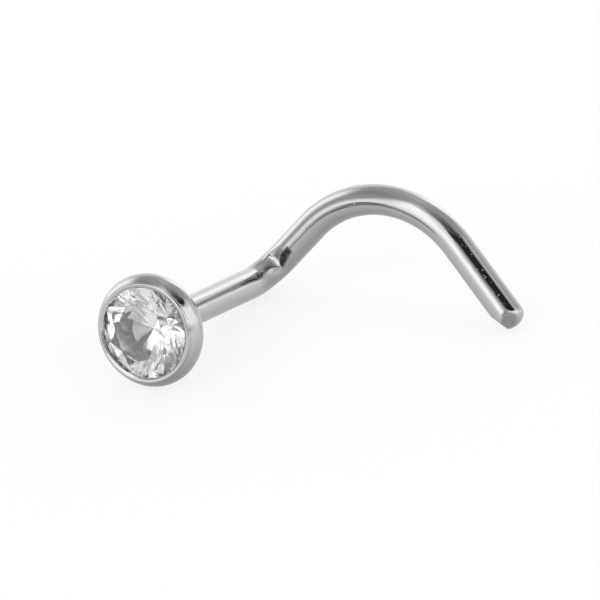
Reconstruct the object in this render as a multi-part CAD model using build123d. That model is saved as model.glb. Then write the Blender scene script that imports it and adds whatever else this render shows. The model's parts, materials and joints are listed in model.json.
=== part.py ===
from build123d import *
from math import acos, cos, degrees, radians, sin, tan
import os

# A nose screw: a round brilliant in a bezel cup, on one length of bent wire. Millimetres.
# It is drawn in the worn frame, with the centre of the cup's rim at the origin, the stone
# facing +Z and the post running along -Z. It is then laid on the three points that it
# rests on: the cup's side, the back of the elbow and the tip of the curl.

# Wire: 20 gauge, a post that turns square into a flat curl.
WIRE_R = 0.40
CORNER_DEPTH = 6.63        # rim plane to the plane of the curl
ELBOW_R = 0.87             # bend radius of the wire's centre line
CURL_HEADING = 19.0        # degrees, the way the wire leaves the elbow, from +X towards +Y
CURL_START = 2.06          # elbow corner to the start of the hook's arc
HOOK_R = 2.83
HOOK_TURN = 96.0           # degrees, clockwise seen from the stone
TAIL = 2.61                # end of the hook's arc to the very end of the tip

# Bezel cup, as radius from the post's axis and depth behind the rim plane.
LIP_CREST_R = 1.275        # where the lip stands highest
LIP_ROUND_R = 0.16         # broad round that leans in over the stone
LIP_LEAN = 33.0            # degrees from the face, how far the lip is burnished down there
LIP_EDGE_R = 0.06          # tight round outside the crest
LIP_EDGE_TURN = 60.0       # degrees past the crest, where the groove under the lip begins
SHOULDER_R = 0.40          # round shoulder below the groove
SHOULDER_RING_R = 1.08     # where the centre of that round runs
SHOULDER_START = 39.0      # degrees from the face, where it rises out of the groove
WIDEST_DEPTH = 0.39
BELLY_R = 3.5              # fuller round of the cup's back
BELLY_START = 34.0         # degrees past the widest, where shoulder turns into belly
BELLY_END = 52.0
BASE_R = 0.30              # round between the belly and the solder
SOLDER_R = 0.20            # fillet of solder round the post

# Stone: round brilliant, in a seat cut to its pavilion.
STONE_R = 1.25
GIRDLE_DEPTH = 0.16        # rim plane to the girdle's upper edge
GIRDLE = 0.075
TABLE_SHARE = 0.57         # table radius as a share of the stone's
CROWN_SLOPE = 34.0
PAVILION_SLOPE = 40.8
STAR_SHARE = 0.50          # how far the star facets reach from the table to the girdle
LOWER_SHARE = 0.78         # how far the lower girdle facets reach to the culet
STONE_TURN = 15.0          # degrees, one corner of the table from +X
STONE_GAP = 0.02           # clearance to the metal all round
WELL_R = 0.50              # hollow under the seat, for the culet
FOLD = 8                   # main facets round the stone

# How it lies: the heading of the stone's face, from -Y towards -X.
FACE_HEADING = 29.2


def polar(r, angle, z=0.0):
    return Vector(r * cos(radians(angle)), r * sin(radians(angle)), z)


def section(r, depth):
    """A point of the cup's section."""
    return Vector(r, 0, -depth)


def on_round(center, radius, angle):
    """A point of a round in the section, angle degrees from its outer side to its back."""
    return center + section(radius * cos(radians(angle)), radius * sin(radians(angle)))


def round_edge(center, radius, start, end):
    points = [on_round(center, radius, a) for a in (start, (start + end) / 2, end)]
    return ThreePointArc(*points)


def join(*pieces):
    """Edges in order, with a line across each gap between the end of one and the next."""
    edges = []
    for piece, following in zip(pieces, pieces[1:] + pieces[:1]):
        edges.append(piece)
        if (piece @ 1 - following @ 0).length > 1e-6:
            edges.append(Line(piece @ 1, following @ 0))
    return edges


def lip_edges():
    """The lip from the mouth over its crest: the broad round, then the tight one."""
    lip = round_edge(section(LIP_CREST_R, LIP_ROUND_R), LIP_ROUND_R, -90 - LIP_LEAN, -90)
    edge = round_edge(section(LIP_CREST_R, LIP_EDGE_R), LIP_EDGE_R, -90, LIP_EDGE_TURN - 90)
    return lip, edge


def back_edges():
    """The outside below the groove: shoulder, belly, base and the solder round the post."""
    shoulder_center = section(SHOULDER_RING_R, WIDEST_DEPTH)
    shoulder = round_edge(shoulder_center, SHOULDER_R, SHOULDER_START - 90, BELLY_START)
    belly_center = on_round(shoulder_center, SHOULDER_R - BELLY_R, BELLY_START)
    belly = round_edge(belly_center, BELLY_R, BELLY_START, BELLY_END)
    base_center = on_round(belly_center, BELLY_R - BASE_R, BELLY_END)
    reach = BASE_R + SOLDER_R
    solder_meet = degrees(acos((WIRE_R + SOLDER_R - base_center.X) / reach))
    base = round_edge(base_center, BASE_R, BELLY_END, solder_meet)
    solder_center = on_round(base_center, reach, solder_meet)
    solder = round_edge(solder_center, SOLDER_R, solder_meet - 180, -180)
    return shoulder, belly, base, solder


def seat_edges():
    """The hollow, from the axis up the well, the seat, the girdle's wall and under the lip."""
    girdle_bottom = GIRDLE_DEPTH + GIRDLE
    wall_r = STONE_R + STONE_GAP
    mouth_r = LIP_CREST_R - LIP_ROUND_R * sin(radians(LIP_LEAN))

    def seat(r):
        below = STONE_GAP / cos(radians(PAVILION_SLOPE))
        return section(r, girdle_bottom + (STONE_R - r) * tan(radians(PAVILION_SLOPE)) + below)

    def under_lip(r):
        above = STONE_GAP / cos(radians(CROWN_SLOPE))
        return section(r, GIRDLE_DEPTH - (STONE_R - r) * tan(radians(CROWN_SLOPE)) - above)

    floor_depth = girdle_bottom + STONE_R * tan(radians(PAVILION_SLOPE)) + STONE_GAP
    well = Line(section(0, floor_depth), section(WELL_R, floor_depth))
    return well, Line(seat(WELL_R), seat(wall_r)), Line(under_lip(wall_r), under_lip(mouth_r))


def cup_and_post():
    """The cup and the straight post, turned about the post's axis."""
    elbow_depth = CORNER_DEPTH - ELBOW_R
    post_end = Line(section(WIRE_R, elbow_depth), section(0, elbow_depth))
    outline = join(*seat_edges(), *lip_edges(), *back_edges(), post_end)
    return revolve(make_face(outline), Axis.Z)


def curl_points():
    """Corners of the wire's centre line: elbow start and end, hook start and end, tip."""
    heading = polar(1, CURL_HEADING)
    corner = Vector(0, 0, -CORNER_DEPTH)
    elbow_start = corner + Vector(0, 0, ELBOW_R)
    elbow_end = corner + heading * ELBOW_R
    hook_start = corner + heading * CURL_START
    hook_center = hook_start + polar(HOOK_R, CURL_HEADING - 90)
    hook_end = hook_center + polar(HOOK_R, CURL_HEADING + 90 - HOOK_TURN)
    tail_way = polar(1, CURL_HEADING - HOOK_TURN)
    tip_center = hook_end + tail_way * (TAIL - WIRE_R)
    return elbow_start, elbow_end, hook_start, hook_center, hook_end, tip_center, tail_way


def curl():
    """The elbow, the curl and its domed tip."""
    elbow_start, elbow_end, hook_start, hook_center, hook_end, tip_center, tail_way = curl_points()
    elbow_center = elbow_start + polar(ELBOW_R, CURL_HEADING)
    elbow_mid = elbow_center - (polar(1, CURL_HEADING) + Vector(0, 0, 1)).normalized() * ELBOW_R
    hook_mid = hook_center + polar(HOOK_R, CURL_HEADING + 90 - HOOK_TURN / 2)
    path = Wire([
        ThreePointArc(elbow_start, elbow_mid, elbow_end),
        Line(elbow_end, hook_start),
        ThreePointArc(hook_start, hook_mid, hook_end),
        Line(hook_end, tip_center),
    ])
    wire = sweep(Plane(elbow_start, z_dir=(0, 0, -1)) * Circle(WIRE_R), path)
    dome = Sphere(WIRE_R, arc_size1=0, align=(Align.CENTER, Align.CENTER, Align.MIN))
    return wire + Plane(tip_center, z_dir=tail_way) * dome


def stone():
    """A closed shell of flat facets: table, stars, kites, girdle and pavilion."""
    girdle_top = -GIRDLE_DEPTH
    girdle_bottom = girdle_top - GIRDLE
    crown_rise = tan(radians(CROWN_SLOPE))
    pavilion_fall = tan(radians(PAVILION_SLOPE))
    half = 180 / FOLD
    table_r = STONE_R * TABLE_SHARE
    table_flat_r = table_r * cos(radians(half))
    star_r = table_flat_r + STAR_SHARE * (STONE_R - table_flat_r)
    lower_r = STONE_R * (1 - LOWER_SHARE)
    table_z = girdle_top + (STONE_R - table_r) * crown_rise
    star_z = girdle_top + (STONE_R - star_r * cos(radians(half))) * crown_rise
    lower_z = girdle_bottom - (STONE_R - lower_r * cos(radians(half))) * pavilion_fall
    culet = Vector(0, 0, girdle_bottom - STONE_R * pavilion_fall)

    def at(r, z, step):
        return polar(r, STONE_TURN + step * half, z)

    facets = [[at(table_r, table_z, 2 * i) for i in range(FOLD)]]
    for i in range(0, 2 * FOLD, 2):
        star = at(star_r, star_z, i + 1)
        last_star = at(star_r, star_z, i - 1)
        lower = at(lower_r, lower_z, i + 1)
        last_lower = at(lower_r, lower_z, i - 1)
        top = [at(STONE_R, girdle_top, i + k) for k in (-1, 0, 1)]
        bottom = [at(STONE_R, girdle_bottom, i + k) for k in (-1, 0, 1)]
        facets += [
            [at(table_r, table_z, i), star, at(table_r, table_z, i + 2)],
            [at(table_r, table_z, i), last_star, top[1], star],
            [last_star, top[0], top[1]],
            [star, top[1], top[2]],
            [top[0], bottom[0], bottom[1], top[1]],
            [top[1], bottom[1], bottom[2], top[2]],
            [bottom[0], last_lower, bottom[1]],
            [bottom[1], lower, bottom[2]],
            [culet, lower, bottom[1], last_lower],
        ]
    faces = [Face(Wire.make_polygon(points)) for points in facets]
    return Solid(Shell(faces))


def lowest_points(down):
    """Where the cup's shoulder, the elbow and the tip are lowest when down is downwards."""
    elbow_start, _, _, _, _, tip_center, _ = curl_points()
    across = Vector(down.X, down.Y, 0).normalized()
    cup = section(0, WIDEST_DEPTH) + across * SHOULDER_RING_R + down * SHOULDER_R
    heading = polar(1, CURL_HEADING)
    in_bend = (heading * down.dot(heading) + Vector(0, 0, down.Z)).normalized()
    elbow = elbow_start + heading * ELBOW_R + in_bend * ELBOW_R + down * WIRE_R
    return cup, elbow, tip_center + down * WIRE_R


def resting_up():
    """The way up, in the worn frame, when all three lowest points touch the floor."""
    up = Vector(0, 1, 0)
    for _ in range(40):
        cup, elbow, tip = lowest_points(-up)
        up = (tip - cup).cross(elbow - cup).normalized()
    return up


def resting_plane():
    """The floor's plane in the worn frame, with its X turned for the face's heading."""
    up = resting_up()
    face = Vector(0, 0, 1)
    face_on_floor = (face - up * face.dot(up)).normalized()
    front = face_on_floor.rotate(Axis((0, 0, 0), up), FACE_HEADING)
    return Plane((0, 0, 0), x_dir=up.cross(front), z_dir=up)


metal = cup_and_post() + curl()
gem = stone()
floor = resting_plane()
pieces = {"bezel_and_wire": floor.to_local_coords(metal), "stone": floor.to_local_coords(gem)}
box = Compound(children=[piece.solid() for piece in pieces.values()]).bounding_box()
down_to_floor = Location((-box.center().X, -box.center().Y, -box.min.Z))

os.makedirs("parts", exist_ok=True)
for name, piece in pieces.items():
    export_step(down_to_floor * piece, f"parts/{name}.step")
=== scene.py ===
"""A nose screw in polished surgical steel with a clear round brilliant, lying on a pale surface.

Sizes are written in millimetres and turned into the scene's metres by MM. The worn frame is
the one that the shapes are worked out in: the centre of the cup's rim, two axes across the
face, and the face's own direction, with the post running back from it.
"""

import json
from math import acos, cos, degrees, radians, sin

import bpy
import numpy as np
from mathutils import Matrix, Vector


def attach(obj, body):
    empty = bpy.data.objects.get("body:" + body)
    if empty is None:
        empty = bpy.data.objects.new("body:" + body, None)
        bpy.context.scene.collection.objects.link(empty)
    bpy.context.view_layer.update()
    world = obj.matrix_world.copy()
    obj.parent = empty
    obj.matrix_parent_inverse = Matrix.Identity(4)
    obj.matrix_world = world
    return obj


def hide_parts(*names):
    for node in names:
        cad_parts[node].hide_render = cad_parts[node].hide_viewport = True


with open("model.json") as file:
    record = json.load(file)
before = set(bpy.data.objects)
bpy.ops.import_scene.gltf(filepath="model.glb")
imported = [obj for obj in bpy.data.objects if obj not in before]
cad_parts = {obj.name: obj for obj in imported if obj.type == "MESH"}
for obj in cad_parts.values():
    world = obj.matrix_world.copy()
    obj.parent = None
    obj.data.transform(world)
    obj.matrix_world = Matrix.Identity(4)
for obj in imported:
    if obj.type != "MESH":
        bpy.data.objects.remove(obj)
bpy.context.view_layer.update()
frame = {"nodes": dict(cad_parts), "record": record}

MM = 0.001

# Wire: 20 gauge, a straight post that turns square into a flat curl.
WIRE_R = 0.40
CORNER_DEPTH = 6.63        # rim plane to the plane of the curl
ELBOW_R = 0.87             # bend radius of the wire's centre line
CURL_HEADING = 19.0        # degrees, the way the wire leaves the elbow
CURL_START = 2.06          # elbow corner to the start of the hook's arc
HOOK_R = 2.83
HOOK_TURN = 96.0           # degrees
TAIL = 2.57                # end of the hook's arc to the very end of the tip, as ground
END_ROUND = 0.32           # length of the tip's round, which the grinding made blunter

# Bezel cup, as radius from the post's axis and depth behind the rim plane.
LIP_CREST_R = 1.275
LIP_ROUND_R = 0.16         # broad round that leans in over the stone
LIP_LEAN = 33.0            # degrees from the face at the mouth
LIP_EDGE_R = 0.06          # tight round outside the crest
LIP_EDGE_TURN = 60.0       # degrees
SHOULDER_R = 0.40
SHOULDER_RING_R = 1.08     # ring that the shoulder's round has its centre on
SHOULDER_START = 39.0      # degrees from the face, where it rises out of the groove
WIDEST_DEPTH = 0.39
BELLY_R = 3.5
BELLY_START = 34.0         # degrees past the widest place
BELLY_END = 52.0
BASE_R = 0.30
SOLDER_R = 0.20
SEAT = [(0.0, 1.334), (0.50, 1.334), (0.50, 0.909), (1.27, 0.244), (1.27, 0.149)]
UNDER_LIP = (1.188, 0.094)

# The marks that the bending tool left inside the elbow. Lengths run along the wire from the
# start of the bend, and sides are degrees round the wire from the bend's inner side.
# Each flat has its length, its depth there and the side it faces. The crease is the step
# between 1.15 and 1.22.
BEND_FLATS = [
    (0.64, -0.020, -10), (1.15, 0.066, -7), (1.22, 0.070, -7),
    (1.29, 0.080, -10), (1.64, 0.0, -16), (1.74, -0.020, -16),
]
BEND_FLAT_ROUND = 0.008    # softness of the flats' edges
CREASE = 1.20
CREASE_BOW = 0.09          # how far the crease's ends lie back from its middle
CREASE_MIDDLE = 5          # side that it bows round
CREASE_HALF = 33           # degrees from its middle to its ends
CREASE_REACH = 0.25        # distance along the wire at which the bow falls to a third
BURR = 1.46                # its crest, on its middle side
BURR_HEIGHT = 0.006
BURR_WIDTH = 0.022         # distance from its crest at which it falls to a third
BURR_SLANT = 0.009         # how much further along its crest is, for each degree round
BURR_MIDDLE = -8
BURR_SIDES = -15, -2, 3    # from, to and softness

# The scuffed patch past the crease. It narrows along the wire, and its start curves away from
# the crease, from its corner's side down to its first side.
# Besides being dull, the patch is painted darker: painted shade standing in for the shade in the
# elbow's crease.
PATCH_END = 1.82, 0.03     # length and softness
PATCH_SIDES = -6, 40, 4    # from, to at the crease, and softness
PATCH_NARROWING = 34       # degrees for each millimetre
PATCH_CORNER = 30
PATCH_CUT = 0.26, 31       # how much later it starts, that many degrees from its corner

# Fainter scuffs: strength, then from, to and softness along the wire, and the same round it.
# The fainter scuffs are painted darker too: painted shade along the elbow's inner side.
FAINT_SCUFFS_AND_SHADE = [
    (0.55, (1.25, 1.66, 0.06), (-30, 2, 4)),      # the patch's other side
    (0.25, (0.45, 1.12, 0.10), (-12, 30, 5)),     # where the jaw pressed
    (0.35, (0.05, 0.80, 0.15), (5, 60, 8)),       # the jaw's edge
]

# The end of the wire is ground on two sides: each ground flat's direction, along the tail,
# across it and towards the face, and its distance from the middle of the round's base.
GROUND_SIDE = (0.30, -0.84, 0.45), 0.304
GROUND_END = (0.50, 0.28, 0.82), 0.320
GROUND_ROUND = 0.012       # softness of the flats' edges
GROUND_LENGTH = 1.0        # length of the end that is worked on
END_SCUFF_AND_SHADE = 0.45           # how much duller and darker than the rest the ground end is left; the darkening is painted shade
END_SCUFF_DEPTH = 0.02     # ground away where it is that dull

# Fineness of the metal's skin: points round it, about how many degrees and millimetres lie
# between its rows, the rows of the hook and the tip, and the angle above which an edge is sharp.
AROUND = 128
ROUND_STEP = 4
SEAT_STEP = 0.1
CUP_STEP = 0.02
WIRE_STEP = 0.05
TAIL_STEP = 0.02
BEND_STEP = 0.0125
HOOK_ROWS = 96
DOME_ROWS = 24
SHARP_EDGE = 24

# The steel's finish. Streaks are coarser than buffing leaves them, so that they show.
STREAK_WIDTH = 0.06
ACROSS_TO_ALONG = 0.02     # width of a streak as a share of its length
WAVE_LENGTH = 0.9          # slight unevenness left by drawing and bending
GRAIN = 0.1                # spacing of the pits, and of the mottling in the scuffed places
PIT_EDGE = 0.22, 0.08      # a pit's radius as a share of that spacing, at its rim and floor
POLISHED_ROUGH = 0.03, 0.10
PIT_ROUGH = 0.3
SCUFF_ROUGH = 0.8
BUMP_UNIT = 0.001          # the heights below are in thousandths of a millimetre
WAVE_HEIGHT = 3.0
PIT_HEIGHT = -1.0
SCUFF_HEIGHT = 4.0

# Floor, in metres, and how much light is added to its own shading, where 1 is white.
FLOOR_RADIUS = 3.0
FLOOR_SIDES = 96
FLOOR_LIFT = 0.745         # straight to the eye
STEEP_LIFT = 0.355         # painted sheen, a glow that the steel and the stone see, looking straight down
GRAZING_LIFT = 0.90        # the same along the floor

# View: the camera's direction and lean in degrees, the width that it shows, and how far its
# aim lies right of and above the middle of the object.
CENTER = Vector((0.0, 0.0, 0.0016))
VIEW_AZIMUTH = 0.0
VIEW_ELEVATION = 25.3
VIEW_ROLL = -3.31
VIEW_WIDTH = 15.385
VIEW_RIGHT = -0.22
VIEW_UP = -0.58
LENS = 1500.0              # focal length, so long that there is hardly any perspective
SENSOR = 36.0
FURTHEST = 100.0           # metres, how far the camera sees

# The light tent round the object. Each panel is a part of its wall: the middle's azimuth (0 is
# the front, 90 the right) and elevation, half its width and height, how far it is turned, with
# its right end up, and how softly its edges fade, all in degrees, then its brightness, where 1
# looks white. Later panels lie over earlier ones.
TENT = 0.56
PANELS = [
    # azimuth, elevation, half width, half height, turn, fade, brightness
    (0, 0, 180, 6, 0, 6, 1.15),             # the foot of the wall, lit by the table
    (-95, 54, 28, 12, 0, 10, 0.43),
    (-86, 4, 8, 14, 0, 8, 0.62),
    (-168, 8, 34, 26, 0, 14, 1.10),
    (-38, 67, 15, 9, 0, 12, 0.95),
    (-38, 30, 18, 27, -8, 9, 1.93),         # front left window
    (-23, 42, 9, 13, 0, 7, 1.38),
    (-64, 4, 13, 15, 0, 8, 1.50),
    (-126, 16, 17, 24, 0, 10, 1.80),        # back left window
    (-106, 22, 6, 12, 0, 6, 1.00),
    (162, 62, 20, 20, 0, 12, 0.74),
    (136, 18, 18, 12, 0, 9, 0.82),
    (156, 13, 9, 24, 0, 10, 1.90),          # back right window
    (108, 12, 22, 14, -30, 9, 0.98),
    (94, 38, 14, 5, -40, 5, 0.95),
    (112, 2, 16, 5, 0, 5, 1.45),
    (-10, 4, 19.5, 45, -45, 4, 0.50),       # the front opening
    (0, 10, 5, 30, 0, 4, 0.72),
    (50, 26, 43, 17, -7, 8, 1.62),          # right window
    (42, 69, 50, 9, 0, 12, 0.30),
    (30, 60, 31, 7, 0, 6, 0.12),
    (15, 48.5, 25, 6, 7, 3, 0.035),         # dark gap over the right window
    (50, 51, 26, 4.5, 6, 2.5, 0.03),
]


# ---------------------------------------------------------------- the worn frame

def worn_frame():
    """Rim centre in mm, and the two face axes and the face direction, as unit vectors.

    The post's axis is the nostril mount's line, and the curl's plane holds the tip mount.
    """
    mounts = {mount["name"]: mount for mount in frame["record"]["mounts"]}
    post_point, tip_point = (np.array(mounts[name]["pos_m"]) / MM for name in ("nostril", "tip"))
    post_way, tail_way = (np.array(mounts[name]["axis"]) for name in ("nostril", "tip"))
    face = -post_way
    corner = post_point + post_way * ((tip_point - post_point) @ post_way)
    turn = radians(HOOK_TURN - CURL_HEADING)
    across = tail_way * cos(turn) + np.cross(face, tail_way) * sin(turn)
    return corner + face * CORNER_DEPTH, np.array([across, np.cross(face, across), face])


RIM, AXES = worn_frame()

# In the worn frame, the post's way and the way that the wire leaves the elbow.
DOWN = np.array([0.0, 0.0, -1.0])
HEADING = np.array([cos(radians(CURL_HEADING)), sin(radians(CURL_HEADING)), 0.0])


def placed(points):
    """Points of the worn frame, in mm, as places in the scene, in metres."""
    return (RIM + points @ AXES) * MM


# ---------------------------------------------------------------- meshes from grids

def skin(name, rows, material, fields):
    """A closed skin: rows of points round a path, each joined to the next, with both ends
    gathered into a pole at the row's middle. Fields are values kept at its points."""
    count, around = rows.shape[:2]
    poles = [rows[0].mean(axis=0), rows[-1].mean(axis=0)]
    vertices = np.vstack([rows.reshape(-1, 3), poles])
    row = np.arange(around)
    following = np.roll(row, -1)
    start = (np.arange(count - 1) * around)[:, None]
    quads = np.stack([start + row, start + following, start + around + following,
                      start + around + row], axis=-1).reshape(-1, 4)
    last = (count - 1) * around
    first_fan = np.stack([following, row, np.full(around, count * around)], axis=-1)
    last_fan = np.stack([last + row, last + following, np.full(around, count * around + 1)], axis=-1)
    mesh = bpy.data.meshes.new(name)
    mesh.from_pydata(vertices.tolist(), [], quads.tolist() + first_fan.tolist() + last_fan.tolist())
    for field, values in fields.items():
        kind, slot = ("FLOAT_VECTOR", "vector") if values.ndim == 3 else ("FLOAT", "value")
        values = values.reshape(count * around, -1)
        ends = [values[:around].mean(axis=0), values[-around:].mean(axis=0)]
        kept = mesh.attributes.new(field, kind, "POINT")
        kept.data.foreach_set(slot, np.vstack([values, ends]).ravel().astype(np.float32))
    mesh.polygons.foreach_set("use_smooth", np.ones(len(mesh.polygons), bool))
    mesh.set_sharp_from_angle(angle=radians(SHARP_EDGE))
    mesh.materials.append(material)
    piece = bpy.data.objects.new(name, mesh)
    bpy.context.scene.collection.objects.link(piece)
    return piece


# ---------------------------------------------------------------- the metal's shape

def round_points(center, radius, start, end):
    """A round of the section: centre plus radius times the cosine and sine of each angle."""
    turned = abs(end - start)
    count = max(3, int(turned / ROUND_STEP), int(radius * radians(turned) / CUP_STEP)) + 1
    angles = np.radians(np.linspace(start, end, count))
    return np.array(center) + radius * np.stack([np.cos(angles), np.sin(angles)], axis=-1)


def tangent_center(center, radius, angle, next_radius):
    """Centre of a round that carries on from another at an angle with no corner."""
    return center + (radius - next_radius) * np.array([cos(radians(angle)), sin(radians(angle))])


def cup_section():
    """Radius and depth over the lip from the stone's side, then down the shoulder and belly
    to the post: rounds with straight lines between them."""
    lip = round_points((LIP_CREST_R, LIP_ROUND_R), LIP_ROUND_R, -90 - LIP_LEAN, -90)
    edge = round_points((LIP_CREST_R, LIP_EDGE_R), LIP_EDGE_R, -90, LIP_EDGE_TURN - 90)
    ring = np.array([SHOULDER_RING_R, WIDEST_DEPTH])
    shoulder = round_points(ring, SHOULDER_R, SHOULDER_START - 90, BELLY_START)
    belly_center = tangent_center(ring, SHOULDER_R, BELLY_START, BELLY_R)
    belly = round_points(belly_center, BELLY_R, BELLY_START, BELLY_END)
    base_center = tangent_center(belly_center, BELLY_R, BELLY_END, BASE_R)
    solder_meet = degrees(acos((WIRE_R + SOLDER_R - base_center[0]) / (BASE_R + SOLDER_R)))
    base = round_points(base_center, BASE_R, BELLY_END, solder_meet)
    solder_center = tangent_center(base_center, BASE_R, solder_meet, -SOLDER_R)
    solder = round_points(solder_center, SOLDER_R, solder_meet - 180, -180)
    return np.vstack([lip, edge[1:], shoulder, belly[1:], base[1:], solder[1:]])


def evened(line, step):
    """The same line with points added so that none are further apart than step: each stretch
    is cut into equal shares, and a point is its start plus its shares of the way to its end."""
    stretch = np.diff(line, axis=0)
    shares = np.maximum(1, np.ceil(np.linalg.norm(stretch, axis=1) / step)).astype(int)
    on = np.repeat(np.arange(len(shares)), shares)
    reached = (np.arange(len(on)) - (np.cumsum(shares) - shares)[on]) / shares[on]
    return np.vstack([line[on] + stretch[on] * reached[:, None], line[-1:]])


def wire_line():
    """Middle, inner side and direction of the wire at each station after the cup.

    Post, elbow, straight rise, hook and tail: straight runs are a point plus a length
    along a direction, and bends are a centre plus the bend's radius turned through angles.
    """
    sideways = np.cross(DOWN, HEADING)

    def run(start, way, inner, length, step):
        along = np.linspace(0, length, max(2, int(length / step)))[1:, None]
        return start + way * along, np.tile(inner, (len(along), 1)), np.tile(way, (len(along), 1))

    post_start = DOWN * cup_section()[-1, 1]
    post = run(post_start, DOWN, HEADING, CORNER_DEPTH - ELBOW_R + post_start[2], WIRE_STEP)

    turns = np.linspace(0, np.pi / 2, int(ELBOW_R * np.pi / 2 / BEND_STEP))[1:, None]
    inner = HEADING * np.cos(turns) - DOWN * np.sin(turns)
    way = DOWN * np.cos(turns) + HEADING * np.sin(turns)
    elbow = post[0][-1] + HEADING * ELBOW_R - inner * ELBOW_R, inner, way

    rise = run(elbow[0][-1], HEADING, -DOWN, CURL_START - ELBOW_R, BEND_STEP)

    turns = np.radians(np.linspace(0, HOOK_TURN, HOOK_ROWS))[1:, None]
    way = HEADING * np.cos(turns) + sideways * np.sin(turns)
    outward = HEADING * np.sin(turns) - sideways * np.cos(turns)
    hook_center = rise[0][-1] + sideways * HOOK_R
    hook = hook_center + outward * HOOK_R, np.tile(-DOWN, (len(way), 1)), way

    tail = run(hook[0][-1], way[-1], -DOWN, TAIL - END_ROUND, TAIL_STEP)
    legs = [post, elbow, rise, hook, tail]
    return tuple(np.vstack([leg[i] for leg in legs]) for i in range(3))


def bell(distance, width):
    """A smooth hump: 1 in its middle, falling off over the width on both sides."""
    return np.exp(-(distance / width) ** 2)


def span(value, low, high, soft):
    """1 between low and high and 0 outside, with both ends softened."""
    return np.maximum(np.tanh((value - low) / soft) - np.tanh((value - high) / soft), 0) / 2


def soft_past(distance, width):
    """A distance where it is above 0 and 0 below, with the corner softened over the width:
    the width times log(1 + exp(distance / width))."""
    return width * np.logaddexp(0, distance / width)


def bend_marks(along, angle):
    """How far the skin stands out by the elbow, in mm, from the length along the wire, in mm
    from the start of the bend, and the angle round it, in degrees from the bend's inner side.

    The bending tool flattened the inner side: a flat is where a plane cuts the round wire.
    The burr beside the crease is one hump across it and a span along it.
    """
    bow = CREASE_BOW * ((angle - CREASE_MIDDLE) / CREASE_HALF) ** 2
    bowed = along + bow * bell(along - CREASE, CREASE_REACH)
    lengths, depths, sides = zip(*BEND_FLATS)
    depth, side = (np.interp(bowed, lengths, values) for values in (depths, sides))
    beyond = WIRE_R * np.cos(np.radians(angle - side)) - (WIRE_R - depth)
    crest = BURR + BURR_SLANT * (angle - BURR_MIDDLE)
    burr = BURR_HEIGHT * bell(along - crest, BURR_WIDTH) * span(angle, *BURR_SIDES)
    return burr - soft_past(beyond, BEND_FLAT_ROUND)


def tool_mark_and_painted_shade(along, angle):
    """How scuffed the bending tool left the wire, and how much it is darkened there as painted shade,
    as the strongest of its marks: the patch past the crease, whose start curves away from its corner,
    and the fainter scuffs."""
    low, high, side_soft = PATCH_SIDES
    end, end_soft = PATCH_END
    cut, cut_degrees = PATCH_CUT
    start = CREASE + cut * (np.clip(PATCH_CORNER - angle, 0, None) / cut_degrees) ** 2
    narrowed = high - PATCH_NARROWING * (along - CREASE)
    patch = span(along, start, end, end_soft) * span(angle, low, narrowed, side_soft)
    faint = [strength * span(along, *lengths) * span(angle, *sides)
             for strength, lengths, sides in FAINT_SCUFFS_AND_SHADE]
    return np.max([patch, *faint], axis=0)


def ground(points, middle, way, flat):
    """Points beyond a flat are drawn back to it along its direction, and how far they came."""
    (lengthwise, sideways, forward), distance = flat
    across = np.cross(-DOWN, way)
    facing = way * lengthwise + across * sideways - DOWN * forward
    drawn = soft_past((points - middle) @ facing - distance, GROUND_ROUND)
    return points - drawn[..., None] * facing, drawn


def metal_rows():
    """Rows of the metal, a ring of radius round the middle line at each station, with the place that
    the polish follows and how scuffed the steel is at each point, which also sets how much painted
    shade darkens it."""
    seat = evened(np.array(SEAT + [UNDER_LIP]), SEAT_STEP)[1:]
    section = np.vstack([seat, evened(cup_section(), CUP_STEP)])
    middle, inner, way = wire_line()
    dome = np.radians(np.linspace(0, 90, DOME_ROWS + 1)[1:-1])[:, None]
    dome_middles = middle[-1] + way[-1] * END_ROUND * np.sin(dome)
    middles = np.vstack([DOWN * section[:, 1:], middle, dome_middles])
    inners = np.vstack([np.tile(HEADING, (len(section), 1)), inner,
                        np.tile(inner[-1], (len(dome), 1))])
    ways = np.vstack([np.tile(DOWN, (len(section), 1)), way, np.tile(way[-1], (len(dome), 1))])
    radii = np.concatenate([section[:, 0], np.full(len(middle), WIRE_R), WIRE_R * np.cos(dome[:, 0])])

    # Lengths are measured from the last station that still runs straight back, the bend's start.
    along = np.concatenate([[0], np.cumsum(np.linalg.norm(np.diff(middles, axis=0), axis=1))])
    along = (along - along[np.flatnonzero(ways @ DOWN > 1 - 1e-9)[-1]])[:, None]
    turn = np.arange(AROUND) * 2 * np.pi / AROUND
    angle = (np.degrees(turn)[None] + 180) % 360 - 180
    sides = np.cross(ways, inners)
    outward = (inners[:, None] * np.cos(turn)[None, :, None]
               + sides[:, None] * np.sin(turn)[None, :, None])
    radii = radii[:, None] + bend_marks(along, angle)
    points = middles[:, None] + outward * radii[..., None]
    scuff_and_painted_shade = tool_mark_and_painted_shade(along, angle)
    end = along[:, 0] > along[-1, 0] - GROUND_LENGTH
    points[end], _ = ground(points[end], middle[-1], way[-1], GROUND_SIDE)
    points[end], drawn = ground(points[end], middle[-1], way[-1], GROUND_END)
    # The ground end is left dull, and painted darker as painted shade.
    scuff_and_painted_shade[end] += END_SCUFF_AND_SHADE * np.minimum(drawn / END_SCUFF_DEPTH, 1)

    # The polish runs along the wire and round the cup, whose section is measured as it goes.
    on_cup = np.arange(len(radii)) < len(section)
    down_section = np.cumsum(np.r_[0, np.linalg.norm(np.diff(section, axis=0), axis=1)])[:, None]
    along_wire = along, WIRE_R * np.cos(turn), WIRE_R * np.sin(turn)
    round_cup = np.cos(turn), down_section, ACROSS_TO_ALONG * np.sin(turn)
    polish = np.stack(np.broadcast_arrays(*along_wire), axis=-1)
    polish[on_cup] = np.stack(np.broadcast_arrays(*round_cup), axis=-1)
    return points, polish, scuff_and_painted_shade


# ---------------------------------------------------------------- materials

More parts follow.
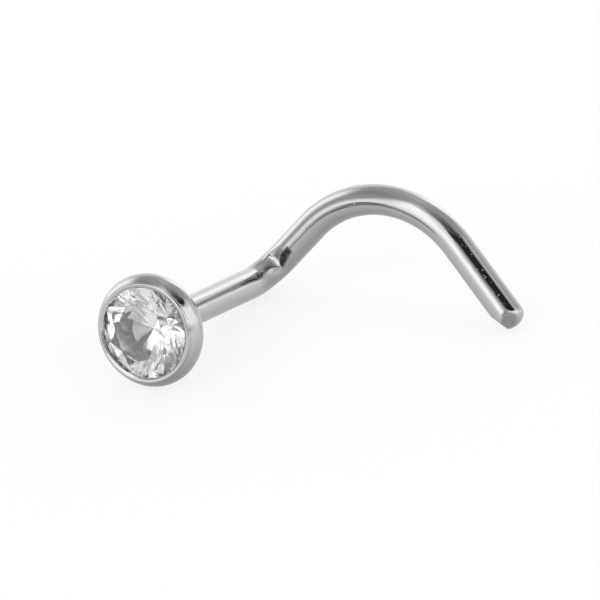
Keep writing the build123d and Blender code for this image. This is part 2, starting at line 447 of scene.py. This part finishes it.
def linear(code):
    """An sRGB hex colour as linear red, green, blue and alpha."""
    parts = np.array([int(code[i:i + 2], 16) for i in (1, 3, 5)]) / 255
    bent = np.where(parts > 0.04045, ((parts + 0.055) / 1.055) ** 2.4, parts / 12.92)
    return (*bent, 1.0)


def add(tree, kind, inputs=None, **settings):
    """Adds a node, sets its properties, and gives each input its value or its link."""
    made = tree.nodes.new(kind)
    for key, value in settings.items():
        setattr(made, key, value)
    for socket, value in (inputs or {}).items():
        if isinstance(value, bpy.types.NodeSocket):
            tree.links.new(value, made.inputs[socket])
        else:
            made.inputs[socket].default_value = value
    return made


def blank_material(name):
    """A material with no nodes yet, and its node tree."""
    material = bpy.data.materials.new(name)
    material.use_nodes = True
    material.node_tree.nodes.clear()
    return material, material.node_tree


def polished_steel():
    """316L surgical steel, drawn, bent, tumbled and buffed: a grey mirror with fine streaks.

    The streaks follow the wire and run round the cup, and a few pits are left from tumbling. The
    steel is dull where the bending tool held it and where its end was ground, and it is painted
    darker there as painted shade.
    """
    material, tree = blank_material("polished_surgical_steel")
    place = add(tree, "ShaderNodeTexCoord")
    polish = add(tree, "ShaderNodeAttribute", attribute_name="polish")
    scuff_and_painted_shade = add(tree, "ShaderNodeAttribute", attribute_name="scuff_and_painted_shade")

    across = 1 / STREAK_WIDTH
    stretched = add(tree, "ShaderNodeMapping", {
        "Vector": polish.outputs["Vector"], "Scale": (ACROSS_TO_ALONG * across, across, across)})
    streaks = add(tree, "ShaderNodeTexNoise", {
        "Vector": stretched.outputs["Vector"], "Scale": 1.0, "Detail": 3.0})
    waves = add(tree, "ShaderNodeTexNoise", {
        "Vector": place.outputs["Object"], "Scale": 1 / (WAVE_LENGTH * MM), "Detail": 2.0})

    rim, floor = PIT_EDGE
    dots = add(tree, "ShaderNodeTexVoronoi", {
        "Vector": place.outputs["Object"], "Scale": 1 / (GRAIN * MM)})
    pits = add(tree, "ShaderNodeMapRange", {
        "Value": dots.outputs["Distance"], "From Min": rim, "From Max": floor},
        interpolation_type="SMOOTHSTEP")

    # The scuffed places are mottled: their brightest grains are 0.7 as dull as the dullest.
    grain = add(tree, "ShaderNodeTexNoise", {
        "Vector": place.outputs["Object"], "Scale": 1 / (GRAIN * MM), "Detail": 2.0})
    mottle = add(tree, "ShaderNodeMapRange", {
        "Value": grain.outputs["Fac"], "From Min": 0.3, "From Max": 0.6, "To Min": 0.7})
    dull_and_shade = add(tree, "ShaderNodeMath", {
        0: mottle.outputs["Result"], 1: scuff_and_painted_shade.outputs["Fac"]}, operation="MULTIPLY")

    # Painted shade: the scuffed places are darkened from #B8B8B8 towards #3B3B3B, in the elbow's
    # crease and on the ground end.
    color = add(tree, "ShaderNodeMix", {
        "Factor": dull_and_shade.outputs["Value"], "A": linear("#B8B8B8"), "B": linear("#3B3B3B")},
        data_type="RGBA")
    smoothest, roughest = POLISHED_ROUGH
    gloss = add(tree, "ShaderNodeMapRange", {
        "Value": streaks.outputs["Fac"], "To Min": smoothest, "To Max": roughest})
    rough = add(tree, "ShaderNodeMath", {
        0: dull_and_shade.outputs["Value"], 1: SCUFF_ROUGH, 2: gloss.outputs["Result"]},
        operation="MULTIPLY_ADD")
    rough = add(tree, "ShaderNodeMath", {
        0: pits.outputs["Result"], 1: PIT_ROUGH, 2: rough.outputs["Value"]},
        operation="MULTIPLY_ADD")

    height = streaks.outputs["Fac"]
    for share, factor in ((waves.outputs["Fac"], WAVE_HEIGHT), (pits.outputs["Result"], PIT_HEIGHT),
                          (dull_and_shade.outputs["Value"], SCUFF_HEIGHT)):
        height = add(tree, "ShaderNodeMath", {
            0: share, 1: factor, 2: height}, operation="MULTIPLY_ADD").outputs["Value"]
    bump = add(tree, "ShaderNodeBump", {
        "Height": height, "Strength": 1.0, "Distance": BUMP_UNIT * MM})
    shader = add(tree, "ShaderNodeBsdfPrincipled", {
        "Base Color": color.outputs["Result"], "Metallic": 1.0, "Roughness": rough.outputs["Value"],
        "Normal": bump.outputs["Normal"]})
    add(tree, "ShaderNodeOutputMaterial", {"Surface": shader.outputs["BSDF"]})
    return material


def cut_stone():
    """Heavy lead crystal, cut and polished: clear, and faintly milky, which softens its facets."""
    material, tree = blank_material("cut_lead_crystal")
    shader = add(tree, "ShaderNodeBsdfPrincipled", {
        "Base Color": linear("#FCFCFC"), "Roughness": 0.06, "IOR": 1.77, "Transmission Weight": 0.9})
    add(tree, "ShaderNodeOutputMaterial", {"Surface": shader.outputs["BSDF"]})
    return material


def white_laminate():
    """White satin laminate table top: its own shading, topped up to white where it is seen.

    The steel and the stone also see a painted sheen on it, a glow that grows towards a grazing view.
    """
    material, tree = blank_material("white_satin_laminate")
    shade = add(tree, "ShaderNodeBsdfDiffuse", {"Color": linear("#959595")})
    path = add(tree, "ShaderNodeLightPath")
    grazing = add(tree, "ShaderNodeLayerWeight", {"Blend": 0.5})
    # Painted sheen: a glow, seen only by the steel and the stone, that grows towards a grazing view.
    painted_sheen = add(tree, "ShaderNodeMapRange", {
        "Value": grazing.outputs["Facing"], "To Min": STEEP_LIFT, "To Max": GRAZING_LIFT})
    mirrored = add(tree, "ShaderNodeMath", {
        0: path.outputs["Is Glossy Ray"], 1: path.outputs["Is Transmission Ray"]},
        operation="MAXIMUM")
    mirrored = add(tree, "ShaderNodeMath", {
        0: mirrored.outputs["Value"], 1: painted_sheen.outputs["Result"]}, operation="MULTIPLY")
    lift = add(tree, "ShaderNodeMath", {
        0: path.outputs["Is Camera Ray"], 1: FLOOR_LIFT, 2: mirrored.outputs["Value"]},
        operation="MULTIPLY_ADD")
    glow = add(tree, "ShaderNodeEmission", {
        "Color": linear("#FFFFFF"), "Strength": lift.outputs["Value"]})
    both = add(tree, "ShaderNodeAddShader", {0: shade.outputs["BSDF"], 1: glow.outputs["Emission"]})
    add(tree, "ShaderNodeOutputMaterial", {"Surface": both.outputs["Shader"]})
    return material


# ---------------------------------------------------------------- the studio

def toward(azimuth, elevation):
    """Unit vector out from the object: azimuth 0 is the front and 90 the right."""
    a, e = radians(azimuth), radians(elevation)
    return Vector((sin(a) * cos(e), -cos(a) * cos(e), sin(e)))


def table_top():
    """A round floor."""
    turns = np.linspace(0, 2 * np.pi, FLOOR_SIDES, endpoint=False)
    edge = FLOOR_RADIUS * np.stack([np.cos(turns), np.sin(turns), 0 * turns], axis=-1)
    mesh = bpy.data.meshes.new("table_top")
    mesh.from_pydata(edge.tolist(), [], [tuple(range(len(edge)))])
    mesh.materials.append(white_laminate())
    floor = bpy.data.objects.new("table_top", mesh)
    bpy.context.scene.collection.objects.link(floor)


def light_tent():
    """The tent as a world: brightness by direction, with each panel's soft-edged patch laid on.

    A direction is a point, its azimuth and elevation in radians. Each panel measures the point
    from its own middle, within half a turn, along its own width and height, and its patch is
    1 inside and 0 outside with soft edges, across the width times the same across the height.
    """
    world = bpy.data.worlds.new("light_tent")
    world.use_nodes = True
    tree = world.node_tree
    tree.nodes.clear()
    ray = add(tree, "ShaderNodeTexCoord")
    facing = add(tree, "ShaderNodeVectorMath", {
        0: ray.outputs["Generated"], 1: (1.0, -1.0, 1.0)}, operation="MULTIPLY")
    way = add(tree, "ShaderNodeSeparateXYZ", {"Vector": facing.outputs["Vector"]})
    azimuth = add(tree, "ShaderNodeMath", {
        0: way.outputs["X"], 1: way.outputs["Y"]}, operation="ARCTAN2")
    elevation = add(tree, "ShaderNodeMath", {0: way.outputs["Z"]}, operation="ARCSINE")
    direction = add(tree, "ShaderNodeCombineXYZ", {
        "X": azimuth.outputs["Value"], "Y": elevation.outputs["Value"]})
    level = TENT
    for *panel, brightness in PANELS:
        middle, height, half_width, half_height, turn, fade = np.radians(panel)
        near = add(tree, "ShaderNodeVectorMath", {
            0: direction.outputs["Vector"], 1: (middle + np.pi, np.pi, 1.0),
            2: (middle - np.pi, -np.pi, -1.0)}, operation="WRAP")
        own = add(tree, "ShaderNodeMapping", {
            "Vector": near.outputs["Vector"], "Location": (middle, height, 0.0),
            "Rotation": (0.0, 0.0, turn)}, vector_type="TEXTURE")
        away = add(tree, "ShaderNodeVectorMath", {0: own.outputs["Vector"]}, operation="ABSOLUTE")
        inside = add(tree, "ShaderNodeMapRange", {
            "Vector": away.outputs["Vector"],
            "From Min": (half_width + fade, half_height + fade, 1.0),
            "From Max": (half_width - fade, half_height - fade, 0.0)},
            data_type="FLOAT_VECTOR", interpolation_type="SMOOTHSTEP")
        sides = add(tree, "ShaderNodeSeparateXYZ", {"Vector": inside.outputs["Vector"]})
        patch = add(tree, "ShaderNodeMath", {
            0: sides.outputs["X"], 1: sides.outputs["Y"]}, operation="MULTIPLY")
        level = add(tree, "ShaderNodeMix", {
            "Factor": patch.outputs["Value"], "A": level, "B": brightness}).outputs["Result"]
    glow = add(tree, "ShaderNodeBackground", {"Color": linear("#FFFFFF"), "Strength": level})
    add(tree, "ShaderNodeOutputWorld", {"Surface": glow.outputs["Background"]})
    bpy.context.scene.world = world


def camera():
    """The camera, far off along its direction and leaning about it, aimed by the object."""
    lens = bpy.data.cameras.new("camera")
    lens.lens = LENS
    lens.sensor_width = SENSOR
    lens.clip_end = FURTHEST
    way = toward(VIEW_AZIMUTH, VIEW_ELEVATION)
    upright = way.to_track_quat("Z", "Y").to_matrix().to_4x4()
    turn = upright @ Matrix.Rotation(radians(VIEW_ROLL), 4, "Z")
    aim = CENTER + turn.to_3x3() @ Vector((VIEW_RIGHT, VIEW_UP, 0)) * MM
    distance = VIEW_WIDTH * MM * LENS / SENSOR
    eye = bpy.data.objects.new("camera", lens)
    eye.matrix_world = Matrix.Translation(aim + way * distance) @ turn
    bpy.context.scene.collection.objects.link(eye)
    bpy.context.scene.camera = eye


# ---------------------------------------------------------------- the scene

bpy.context.scene.view_settings.view_transform = "Standard"
camera()

rows, polish, scuff_and_painted_shade = metal_rows()
fields = {"polish": polish, "scuff_and_painted_shade": scuff_and_painted_shade}
metal = skin("steel_cup_and_wire", placed(rows), polished_steel(), fields)
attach(metal, "root")
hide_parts("bezel_and_wire")

gem = frame["nodes"]["stone"]
gem.data.materials.clear()
gem.data.materials.append(cut_stone())

table_top()
light_tent()
